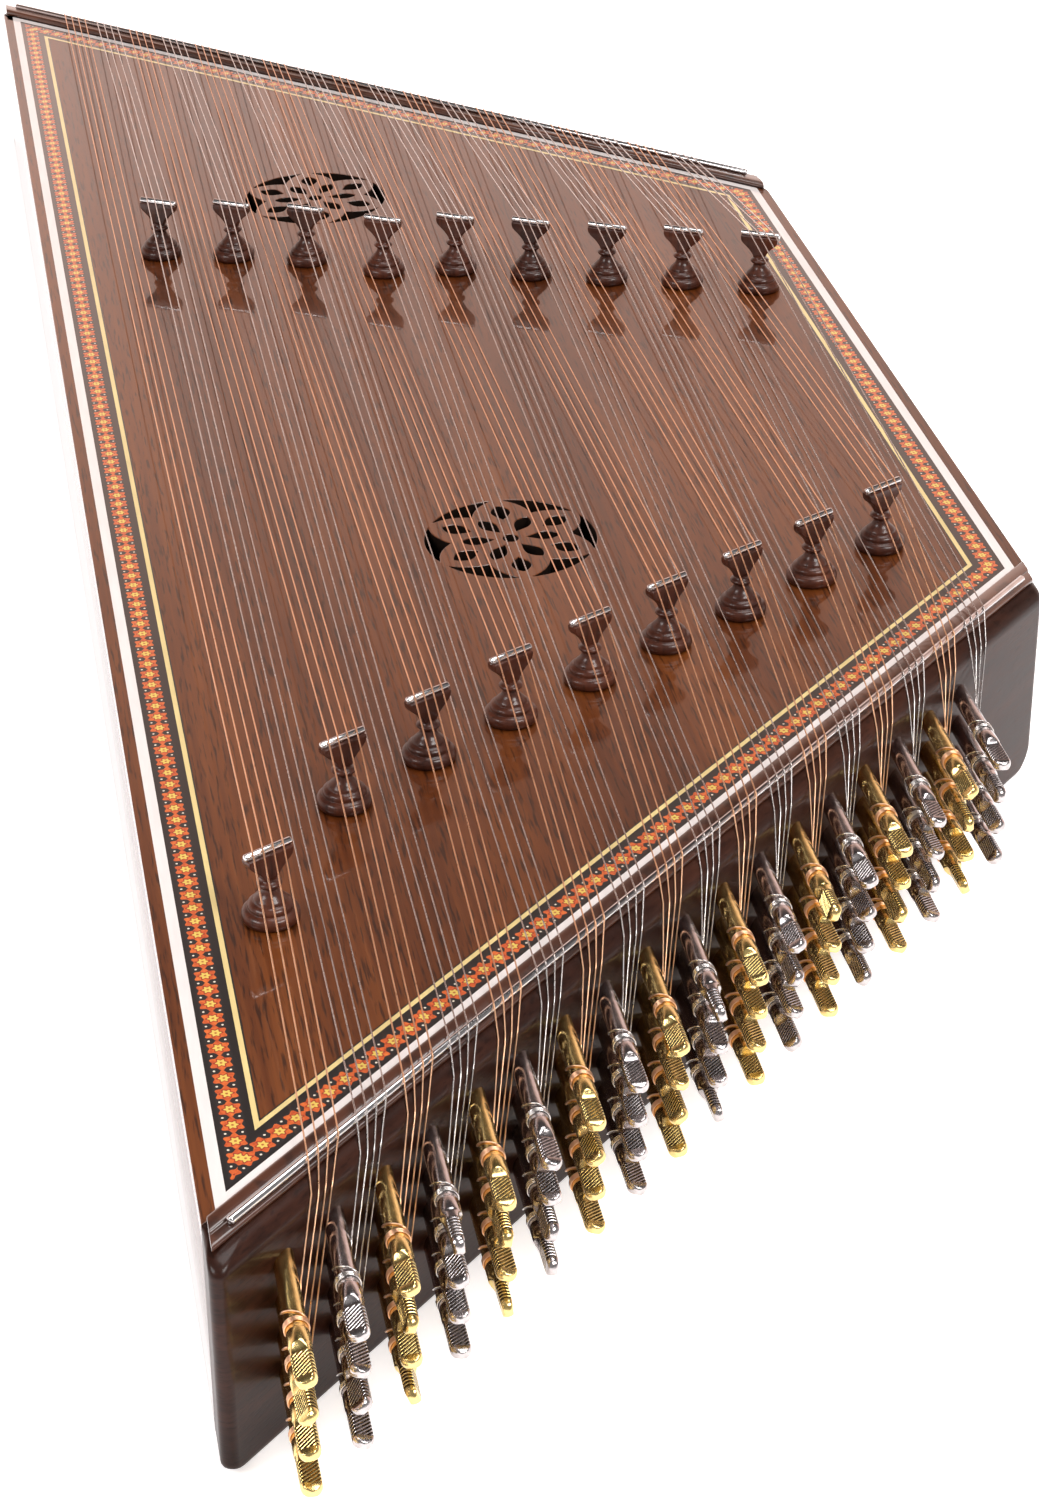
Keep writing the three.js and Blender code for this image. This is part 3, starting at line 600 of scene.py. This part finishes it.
foot_me, fan_me, rod_me, temp = bridge_mesh("bridge_tmp")
for o in temp:
    bpy.data.objects.remove(o)
for k in range(1, 19):
    body = bridgeBody(k)
    turn = math.degrees(TURN[(k + 1) % 2])
    for me, suffix, slot, ang in ((foot_me, "foot", "rosewood", 60), (fan_me, "fan", "rosewood", 40), (rod_me, "rod", "chrome_rod", 60)):
        data = me.copy(); data.name = body + "_" + suffix
        ob = bpy.data.objects.new(body + "_" + suffix, data); scene.collection.objects.link(ob)
        shade(ob, ang)
        data.transform(Matrix.Translation(Vector((bridgeX(k), courseY(k), H)) * MM) @ Matrix.Rotation(math.radians(turn), 4, "Z"))
        piece(ob, slot, *([body] if suffix == "foot" else []), body=body)

# ------------------------------------------------------------------ tuning pins
SEG = 36


def pin_rings():
    prof = [(-4.0, 2.58, 9), (24.8, 2.58, 9), (25.9, 2.58, 9), (26.1, 2.66, 9), (26.35, 2.72, 9), (30.6, 2.72, 9), (30.9, 2.66, 9), (31.1, 2.58, 2.58), (31.5, 2.56, 2.2), (32.0, 2.56, 1.82), (32.6, 2.56, 1.56), (33.3, 2.56, 1.48)]
    prof += [(37.0, 2.56, 1.45), (40.9, 2.56, 1.42)]
    for i in range(1, 9):
        t = i / 8 * math.pi / 2
        prof.append((40.9 + 2.45 * math.sin(t), max(0.3, 2.56 * math.cos(t)), max(0.22, 1.42 * math.cos(t) ** 0.45)))
    out = []
    for x, a, flat in prof:
        ring = []
        for j in range(SEG):
            th = 2 * math.pi * j / SEG; c, s_ = math.cos(th), math.sin(th)
            ring.append((x, a * c, max(-flat, min(flat, a * s_))))
        out.append(ring)
    return out


pv, pf = rings(pin_rings())
pin_tmp = outward(make("pin_tmp", pv, pf, BRASS))
pin_base = pin_tmp.data
loc = np.array([v.co for v in pin_base.vertices], np.float32)
at = pin_base.attributes.new("pin_local", "FLOAT_VECTOR", "POINT"); at.data.foreach_set("vector", loc.ravel())
bpy.data.objects.remove(pin_tmp)
ARRIVE = 8.8


def coil_path(r=2.58 + WIRE_R + 0.045):
    out = []
    for i in range(31):                          # long lead from the string's side, under the pin and over its top
        t = i / 30
        x = ARRIVE + 9.6 * t / 0.5 * 1.0 if t < 0.5 else ARRIVE + 9.6 + 4.6 * (1 - (1 - (t - 0.5) / 0.5) ** 1.6)
        a = -2 * math.pi * t
        out.append((x, r * math.cos(a), r * math.sin(a)))
    x0 = out[-1][0]
    n = int(3.7 * 20)
    for i in range(1, n + 1):
        a = -2 * math.pi - 2 * math.pi * i / 20
        out.append((x0 + 0.46 * i / 20, r * math.cos(a), r * math.sin(a)))
    return out


cv, cf = tube(coil_path(), WIRE_R, 6)
coil_tmp = outward(make("coil_tmp", cv, cf, COPPERWIRE)); coil_base = coil_tmp.data; bpy.data.objects.remove(coil_tmp)
for k in range(1, 19):
    for r in range(4):
        nm = "tuning_pin_c%02d_r%d" % (k, r + 1)
        data = pin_base.copy(); data.name = nm
        data.materials.clear(); data.materials.append(BRASS if k % 2 else NICKEL)
        ang = random.choice([0, 0, 0, 1, 2]) * 45 + random.uniform(-22, 22)
        data.transform(Matrix.Translation(Vector((pinX(k), pinY(k), rowZ(r))) * MM) @ Matrix.Rotation(math.radians(ang), 4, "X"))
        ob = bpy.data.objects.new(nm, data); scene.collection.objects.link(ob); shade(ob, 38)
        body = "tuning_pin_%02d" % k if r == 0 else "root"
        nodes = [body] if r == 0 else (["tuning_pins_brass_lower"] if (k, r) == (1, 1) else ["tuning_pins_steel_lower"] if (k, r) == (2, 1) else [])
        piece(ob, "brass_pin" if k % 2 else "nickel_pin", *nodes, body=body)
        cd = coil_base.copy(); cd.name = nm + "_coil"; cd.materials.clear(); cd.materials.append(COPPERWIRE if k % 2 else STEELWIRE)
        cd.transform(Matrix.Translation(Vector((pinX(k), pinY(k), rowZ(r))) * MM))
        co = bpy.data.objects.new(nm + "_coil", cd); scene.collection.objects.link(co); shade(co, 70)
        piece(co, "bronze_wire" if k % 2 else "steel_wire")          # the wound wire stays with its straight part

# ------------------------------------------------------------------ strings
TOP = H + BROD_Z + BROD_R + WIRE_R
HITCH_Z = [45.0, 36.0]


def over_end(y, sign, dz, ds, lean=0.0):
    """From the nut rod outward over the shoulder, as points."""
    R = ROD_R + WIRE_R + 0.02; S = SHO_R + WIRE_R + 0.03
    pts = [side(y, ROD_S - R * math.sin(math.radians(p)), ROD_Z + R * math.cos(math.radians(p)), sign) for p in (4, 16, 28, 40, 48)]
    end = math.degrees(math.atan2(dz, ds))
    first = 47.0
    n = 5
    if end > first + 2:
        pts += [side(y - lean * (0.75 + 0.25 * i / n), SHO_R - S * math.sin(math.radians(first + (end - first) * i / n)), H - SHO_R + S * math.cos(math.radians(first + (end - first) * i / n)), sign) for i in range(n + 1)]
    else:
        pts.append(side(y - lean, SHO_R - S * math.sin(math.radians(first)), H - SHO_R + S * math.cos(math.radians(first)), sign))
    return pts


def between(a, b, n):
    A, B = Vector(a), Vector(b)
    return [tuple(A.lerp(B, i / n)) for i in range(1, n)]


for k in range(1, 19):
    body = bridgeBody(k); bx = bridgeX(k)
    mat, slot = (COPPERWIRE, "bronze_wire") if k % 2 else (STEELWIRE, "steel_wire")
    for half in ("left", "right"):
        verts, faces = [], []
        sign = 1 if half == "right" else -1
        for j in range(4):
            y = courseY(k) + (j - 1.5) * WIRE_PITCH
            if half == "right":
                tgt = (pinX(k) + ARRIVE, pinY(k) + 2.58 + WIRE_R + 0.045, rowZ(j))
                ds = max(0.5, NX * (tgt[0] - faceX(tgt[1])) + 1.0)
                out = over_end(y, 1, 59.0 - tgt[2], ds, LEAN[0] + (LEAN[1] + LEAN[2] * (18 - k)) * j)
            else:
                i = 0 if j < 2 else 1
                hy = courseY(k) + (-WIRE_PITCH if i == 0 else WIRE_PITCH)
                tgt = (-(faceX(hy) + 3.0 + 0.7 * (j % 2)), hy + (1.25 if j % 2 else -1.25), HITCH_Z[i])
                out = over_end(y, -1, 59.0 - tgt[2], 2.6)
            start = (bx - (y - courseY(k)) * math.tan(TURN[(k + 1) % 2]), y, TOP)
            path = [start] + between(start, out[0], 30) + out + between(out[-1], tgt, 4) + [tgt]
            if half == "left":                   # loop round the hitch pin
                side_ = 1 if j % 2 else -1
                for q in range(1, 13):
                    a = -side_ * 0 + math.pi * 2 * q / 12
                    path.append((tgt[0] - 0.02 * q, hy + side_ * 1.25 * math.cos(a), HITCH_Z[i] - 1.25 * math.sin(a)))
            v, f = tube(path, WIRE_R, 6, len(verts))
            verts += v; faces += f
        ob = shade(outward(make("course_%02d_%s" % (k, half), verts, faces, mat)), 70)
        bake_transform(ob)
        if k <= 2 and half == "left":
            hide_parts("strings_brass" if k == 1 else "strings_steel")

hv, hf = [], []
for k in range(1, 19):
    for i in range(2):
        y = courseY(k) + (-WIRE_PITCH if i == 0 else WIRE_PITCH); x0 = faceX(y)
        prof = [(0, -6), (1.05, -6), (1.05, 3.9), (1.35, 4.2), (1.5, 4.6), (1.3, 4.85), (0.7, 4.98), (0, 5.0)]
        v, f = lathe(prof, 14, lambda a, b, c, y=y, i=i, x0=x0: (-(x0 + c), y + a, HITCH_Z[i] + b))
        n = len(hv); hv += v; hf += [tuple(q + n for q in t) for t in f]
piece(shade(outward(make("hitch_pins", hv, hf, CHROME)), 40), "steel_wire")
